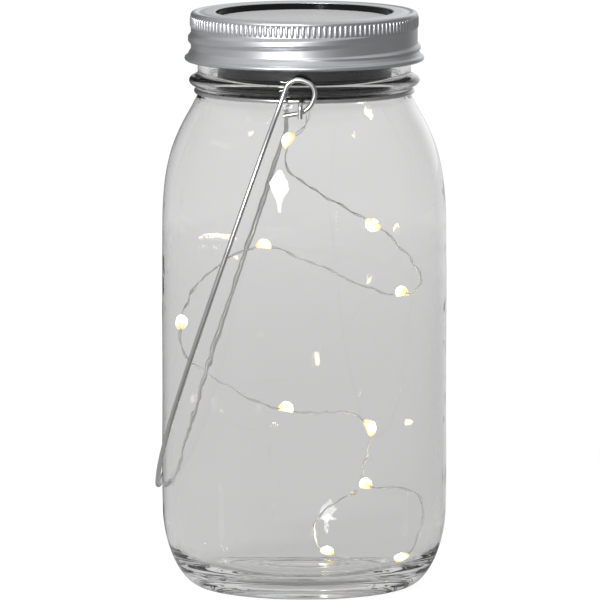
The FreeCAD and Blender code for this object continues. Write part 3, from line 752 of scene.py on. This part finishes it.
def room_light(finish, way, far_wall_level):
    """How bright the studio is towards a direction, as metal and glass mirror it."""
    right = finish.axis("X", way)
    ahead = finish.axis("Y", way)
    left = 0 - right
    side_wall = SIDE_WALL_LEVEL * left.between(*SIDE_WALL_EDGE)
    far_wall = far_wall_level * ahead.between(*FAR_WALL_EDGE) * right.between(*FAR_WALL_LEFT_EDGE)
    flag = DARK_FLAG * ahead.between(*FLAG_EDGE) * left.between(*FLAG_RIGHT_EDGE)
    return ROOM_LEVEL + side_wall + far_wall - flag


def painted_foot_shadow(finish):
    """How much of the floor's glow is kept near the jar, a painted shadow: less under it, least along the
    front of its foot.
    """
    place = finish.place()
    out = finish.node("ShaderNodeVectorMath", {"operation": "LENGTH"}, {0: place}, output="Value")
    front = (0 - finish.axis("Y", place)).between(*FOOT_FRONT)
    # A painted dark ring along the front of the foot
    ring = out.between(*FOOT_LINE_INSIDE) - out.between(*FOOT_LINE_OUTSIDE)
    return (1 - FOOT_SHADE) + FOOT_SHADE * out.between(*FOOT_SHADE_EDGE) - FOOT_LINE_SHADE * front * ring


def floor():
    """A pale floor that is white to the eye; its glow paints the room's light where metal and glass mirror
    it, a grey backdrop seen through the glass, and a painted shadow by the jar's foot.
    """
    mesh = bpy.data.meshes.new("floor")
    corners = [(x * FLOOR_REACH, y * FLOOR_REACH, 0) for x, y in ((-1, -1), (1, -1), (1, 1), (-1, 1))]
    mesh.from_pydata(corners, [], [(0, 1, 2, 3)])
    finish = Surface("floor_white", {
        "Base Color": grey(FLOOR_COLOUR), "Roughness": 0.8, "Specular IOR Level": 0.0,
        "Emission Strength": 1.0})
    place = finish.place()
    turned_place = studio_frame(finish, place)
    way = finish.node("ShaderNodeVectorMath", {"operation": "NORMALIZE"}, {0: turned_place})
    # Room light painted into the floor's glow, for glossy rays only
    room = room_light(finish, way, FAR_WALL_ON_FLOOR) - FLOOR_DIMMER
    backdrop = BACKDROP_LEVEL + FLOOR_RISE * finish.axis("Y", place).between(*FLOOR_RISE_EDGE)
    through = ray_kind(finish, "Is Transmission Ray")
    painted_room_light = ray_kind(finish, "Is Glossy Ray") * (1 - through) * room
    seen = FLOOR_SEEN * ray_kind(finish, "Is Camera Ray")
    level = seen + (painted_room_light + backdrop * through) * painted_foot_shadow(finish)
    finish.paint({"Emission Color": finish.even(level)})
    mesh.materials.append(finish.material)
    add_to_scene("floor", mesh)


def studio():
    """Walls and ceiling as light: white to the eye, and a soft grey backdrop through the glass."""
    world = bpy.data.worlds.new("studio")
    bpy.context.scene.world = world
    world.use_nodes = True
    finish = Finish(world.node_tree)
    way = studio_frame(finish, finish.place("Generated"))
    ceiling = CEILING_LEVEL * finish.axis("Z", way).between(*CEILING_EDGE)
    room = room_light(finish, way, FAR_WALL_LEVEL) + ceiling
    backdrop = BACKDROP_LEVEL + BACKDROP_RISE * finish.axis("Y", way).between(*BACKDROP_EDGE)
    through = ray_kind(finish, "Is Transmission Ray")
    seen = ray_kind(finish, "Is Camera Ray")
    level = seen + (1 - seen) * (room * (1 - through) + backdrop * through)
    background = world.node_tree.nodes["Background"]
    finish.feed(background.inputs["Color"], finish.even(level))
    background.inputs["Strength"].default_value = 1.0


def looking_at_jar(place):
    """A frame at a place, turned to look at the middle of the jar."""
    turn = (AIM - Vector(place)).to_track_quat("-Z", "Y")
    return Matrix.Translation(place) @ turn.to_matrix().to_4x4()


def key_light():
    """A square softbox, turned to stand on its corner."""
    light = bpy.data.lights.new("softbox_key", "AREA")
    light.shape = "RECTANGLE"
    light.size = KEY_SIDE
    light.size_y = KEY_SIDE
    light.energy = KEY_POWER
    lamp = add_to_scene("softbox_key", light)
    lamp.matrix_world = looking_at_jar(KEY_PLACE) @ Matrix.Rotation(KEY_ROLL, 4, "Z")


def glass_paths():
    """Enough crossings for light to find its way out of the jar's thick base."""
    paths = bpy.context.scene.cycles
    paths.max_bounces = GLASS_CROSSINGS
    paths.transmission_bounces = GLASS_CROSSINGS
    paths.glossy_bounces = GLASS_MIRRORINGS


def camera():
    data = bpy.data.cameras.new("camera")
    lens = add_to_scene("camera", data)
    right = math.sin(CAMERA_AZIMUTH) * CAMERA_REACH
    back = math.cos(CAMERA_AZIMUTH) * CAMERA_REACH
    place = Vector((right, -back, CAMERA_HEIGHT))
    lens.matrix_world = looking_at_jar(place)
    data.sensor_width = SENSOR_MM
    data.lens = SENSOR_MM * (AIM - place).length / (METRES_PER_PIXEL * PHOTO_PIXELS)
    data.shift_x = (PHOTO_PIXELS / 2 - AXIS_PIXEL_X) / PHOTO_PIXELS
    data.shift_y = (AIM_PIXEL_Y - PHOTO_PIXELS / 2) / PHOTO_PIXELS
    data.clip_end = CAMERA_SIGHT
    bpy.context.scene.camera = lens


wire = bright_wire("bright_wire", dark=0.58, light=0.7, rough=0.24)
steel = band_steel()
jar_piece()
band_piece(steel)
knurl_piece(steel)
light_string(bright_wire("silver_strand", dark=0.78, light=0.94, rough=0.28))
dress_nodes(wire)
floor()
studio()
key_light()
camera()
bpy.context.scene.view_settings.view_transform = "Standard"
glass_paths()
